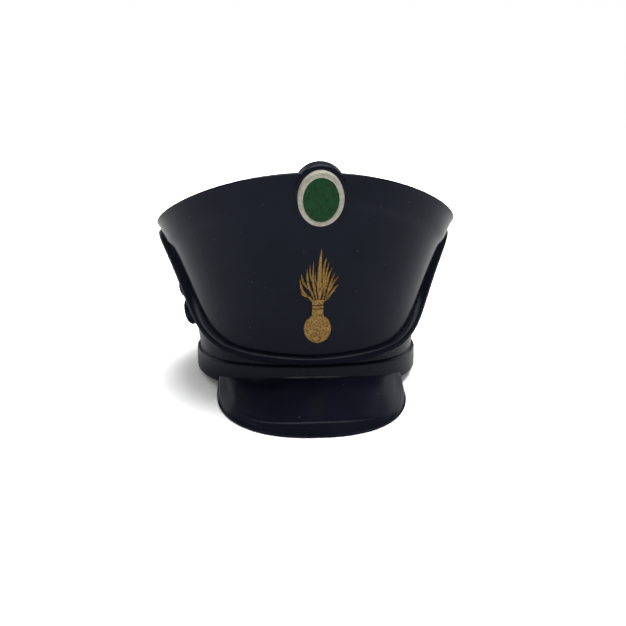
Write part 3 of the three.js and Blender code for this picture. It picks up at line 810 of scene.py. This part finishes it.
FLAMES = [
    {"tip": (-0.80, 3.80), "root": (-0.22, 3.30), "bow": 0.15, "half": 0.059},
    {"tip": (-0.85, 4.38), "root": (-0.19, 3.12), "bow": 0.22, "half": 0.066},
    {"tip": (-0.79, 4.66), "root": (-0.17, 3.50), "bow": 0.18, "half": 0.060},
    {"tip": (-0.51, 4.92), "root": (-0.13, 3.12), "bow": 0.24, "half": 0.066},
    {"tip": (-0.38, 5.06), "root": (-0.12, 3.75), "bow": 0.20, "half": 0.050},
    {"tip": (-0.22, 5.24), "root": (-0.06, 3.12), "bow": 0.34, "half": 0.062},
    {"tip": (-0.12, 4.76), "root": (-0.02, 3.80), "bow": 0.30, "half": 0.043},
    {"tip": (0.04, 5.40), "root": (0.00, 3.40), "bow": 0.80, "half": 0.071},
    {"tip": (0.15, 5.86), "root": (0.03, 3.12), "bow": 0.10, "half": 0.101},
    {"tip": (0.36, 5.37), "root": (0.10, 3.60), "bow": 0.10, "half": 0.076},
    {"tip": (0.50, 5.22), "root": (0.10, 3.12), "bow": 0.12, "half": 0.062},
    {"tip": (0.65, 4.92), "root": (0.17, 3.65), "bow": 0.10, "half": 0.060},
    {"tip": (0.80, 4.67), "root": (0.15, 3.12), "bow": 0.08, "half": 0.062},
    {"tip": (0.97, 4.48), "root": (0.23, 3.50), "bow": 0.06, "half": 0.058},
    {"tip": (1.01, 4.10), "root": (0.20, 3.20), "bow": 0.03, "half": 0.062},
    {"tip": (0.90, 3.77), "root": (0.24, 3.36), "bow": -0.08, "half": 0.042},
]
FLAME_WAVE = 0.07


def draw_flame(number, flame):
    only()
    bpy.ops.mesh.primitive_uv_sphere_add(segments=12, ring_count=24, radius=1)
    piece = bpy.context.object
    piece.name = piece.data.name = "flame_%02d" % number
    root = Vector(flame["root"])
    tip = Vector(flame["tip"])
    reach = tip - root
    bend = root + Vector(((0.5 + flame["bow"]) * reach.x, (0.5 - flame["bow"]) * reach.y))

    def lay(point):
        share = 0.5 + math.asin(max(-1, min(1, point.z))) / math.pi
        middle = root * (1 - share) ** 2 + bend * 2 * share * (1 - share) + tip * share**2
        along = ((bend - root) * (1 - share) + (tip - bend) * share).normalized()
        across = Vector((along.y, -along.x))
        middle += across * FLAME_WAVE * math.sin(2 * math.pi * share) * (1 - 0.5 * share)
        ring = math.hypot(point.x, point.y)
        angle_x, angle_y = (point.x / ring, point.y / ring) if ring > 1e-6 else (0, 0)
        late = max(0.0, (share - 0.5) / 0.5)
        swell = min(1.0, 0.35 + 1.1 * share) * (1 - late**2) ** 0.75
        half = flame["half"] * swell if ring > 1e-6 else 0
        out = BADGE_PROUD * (0.25 + 0.75 * swell) * max(0.0, angle_y) - 0.03 * max(0.0, -angle_y)
        place = middle + across * angle_x * half
        return on_front_wall(place.x, place.y, out)

    carry(piece, lay)
    return piece


badge_pieces = [draw_flame(number, flame) for number, flame in enumerate(FLAMES, 1)]
print("flames:", len(badge_pieces))

# %% Ball and neck
BALL = {"radius": 0.655, "height": 1.88, "taller": 1.12}
ball_line = [(0, -0.03), (1, -0.03), (1, 0.03)] + corner((0.93, 0.03), 0.07, 10, 90, 5)
ball_line += [(0.5, BADGE_PROUD), (0, BADGE_PROUD)]
ball = turn_piece("ball", ball_line, steps=64)
carry(ball, lambda p: on_front_wall(
    p.x * BALL["radius"], BALL["height"] + p.y * BALL["radius"] * BALL["taller"], p.z))
badge_pieces.append(ball)

NECK = [
    {"low": 2.46, "high": 2.86, "foot": 0.29, "top": 0.255},
    {"low": 2.90, "high": 3.03, "foot": 0.265, "top": 0.265},
    {"low": 3.075, "high": 3.34, "foot": 0.255, "top": 0.27},
]
for number, part in enumerate(NECK, 1):
    only()
    bpy.ops.mesh.primitive_cube_add(size=2)
    block = bpy.context.object
    block.name = block.data.name = "neck_%d" % number
    bpy.ops.object.mode_set(mode="EDIT")
    bpy.ops.mesh.select_all(action="SELECT")
    bpy.ops.mesh.subdivide(number_cuts=7)
    bpy.ops.object.mode_set(mode="OBJECT")

    def lay_neck(p, part=part):
        up = (p.y + 1) / 2
        half = part["foot"] + up * (part["top"] - part["foot"])
        crown = 0.09 * (1 - 0.35 * p.x**2) if p.z > 0.9 else -0.03 if p.z < -0.9 else 0.03 + 0.03 * p.z
        return on_front_wall(p.x * half, part["low"] + up * (part["high"] - part["low"]), crown)

    carry(block, lay_neck)
    badge_pieces.append(block)

# %% Joining the badge
only()
for piece in badge_pieces:
    piece.select_set(True)
bpy.context.view_layer.objects.active = ball
bpy.ops.object.join()
badge = bpy.context.object
badge.name = badge.data.name = "grenade_print"
finish_piece(badge, gold_print, "gold_print", "grenade_badge", angle=50)

# %% [markdown]
# ## Camera, floor and light
#
# The camera stands a little to the left of the hat's front and just above its rim, close to it. The
# floor is plain white under a wide, soft light from above. The black wall mirrors that floor, and this
# makes the crown brighter towards both sides. The picture's white ground was brightened afterwards, so
# here the floor is brighter to the camera than in the mirror image. A glow straight above gives the fine
# bright lines on strap and peak, and two soft boxes behind the hat light band and peak from the sides.

# %% The camera
aside, swing, pitch = math.radians(3.5), math.radians(0.65), math.radians(12.17)
distance, level = 36.0, 10.27
facing = Matrix.Rotation(-aside, 3, "Z") @ Vector(
    (math.sin(swing) * math.cos(pitch), math.cos(swing) * math.cos(pitch), -math.sin(pitch)))
seat = Vector((-distance * math.sin(aside), -distance * math.cos(aside), level))
to_right = facing.cross(Vector((0, 0, 1))).normalized()
to_top = to_right.cross(facing)
look = Matrix((to_right, to_top, -facing)).transposed().to_4x4()

camera = bpy.data.objects.new("camera", bpy.data.cameras.new("camera"))
bpy.context.collection.objects.link(camera)
camera.matrix_world = Matrix.Translation(HAT @ seat) @ TURN @ look
camera.data.sensor_width = 36
camera.data.lens = 36.84
camera.data.clip_start = 0.001
bpy.context.scene.camera = camera
print("camera at", [round(v, 4) for v in camera.matrix_world.translation])

# %% The floor and the light
only()
bpy.ops.mesh.primitive_plane_add(size=8)
floor = bpy.context.object
floor.name = "floor"
FLOOR_WHITE, FLOOR_SEEN, MIRRORED_LOSS = 0.9, 2.0, 0.35
paint, tree, shader = new_material("white_floor", (FLOOR_WHITE,) * 3, 0.7)
path = tree.nodes.new("ShaderNodeLightPath")
seen = add_range(tree, path.outputs["Is Camera Ray"], 0, 1, FLOOR_WHITE, FLOOR_SEEN)
mirrored = add_range(tree, path.outputs["Is Glossy Ray"], 0, 1, 0, MIRRORED_LOSS)
tree.links.new(add_math(tree, "SUBTRACT", seen, mirrored), shader.inputs["Base Color"])
floor.data.materials.append(paint)

sun = bpy.data.objects.new("overhead", bpy.data.lights.new("overhead", "SUN"))
sun.data.energy = 3.6
sun.data.angle = math.radians(46)
sun.rotation_euler = (math.radians(-14), math.radians(11), 0)
bpy.context.collection.objects.link(sun)
sun.visible_glossy = False


SOFT_BOX = {"distance": 0.09, "height": 0.03, "width": 0.07, "depth": 0.06, "aims_at": 0.004}
for name, azimuth, power in (("back_left", -138, 0.009), ("back_right", 132, 0.011)):
    lamp = bpy.data.objects.new(name, bpy.data.lights.new(name, "AREA"))
    lamp.data.shape = "RECTANGLE"
    lamp.data.size, lamp.data.size_y = SOFT_BOX["width"], SOFT_BOX["depth"]
    lamp.data.energy = power
    lamp.location = around(math.radians(azimuth), SOFT_BOX["distance"], SOFT_BOX["height"])
    aim = Vector((0, 0, SOFT_BOX["aims_at"])) - lamp.location
    lamp.rotation_euler = aim.to_track_quat("-Z", "Y").to_euler()
    bpy.context.collection.objects.link(lamp)
    lamp.visible_camera = False

# %% The room
ROOM_LIGHT, ROOM_MIRRORED, ZENITH_GLOW = 0.3, 0.14, 4.0
GLOW_FROM, GLOW_TO = 0.7, 0.95
world = bpy.data.worlds.new("studio")
bpy.context.scene.world = world
world.use_nodes = True
tree = world.node_tree
room = tree.nodes["Background"]
room.inputs["Color"].default_value = (1, 1, 1, 1)
direction = tree.nodes.new("ShaderNodeTexCoord")
parts = tree.nodes.new("ShaderNodeSeparateXYZ")
tree.links.new(direction.outputs["Generated"], parts.inputs["Vector"])
ceiling = add_range(tree, parts.outputs["Z"], GLOW_FROM, GLOW_TO, ROOM_MIRRORED, ZENITH_GLOW)
path = tree.nodes.new("ShaderNodeLightPath")
more = add_math(tree, "SUBTRACT", ceiling, ROOM_LIGHT)
shine = add_math(tree, "MULTIPLY", path.outputs["Is Glossy Ray"], more)
tree.links.new(add_math(tree, "ADD", shine, ROOM_LIGHT), room.inputs["Strength"])
backdrop = tree.nodes.new("ShaderNodeBackground")
backdrop.inputs["Color"].default_value = (1, 1, 1, 1)
choice = tree.nodes.new("ShaderNodeMixShader")
tree.links.new(path.outputs["Is Camera Ray"], choice.inputs["Fac"])
tree.links.new(room.outputs["Background"], choice.inputs[1])
tree.links.new(backdrop.outputs["Background"], choice.inputs[2])
tree.links.new(choice.outputs["Shader"], tree.nodes["World Output"].inputs["Surface"])
bpy.context.scene.view_settings.view_transform = "Standard"

# %% The end
only()
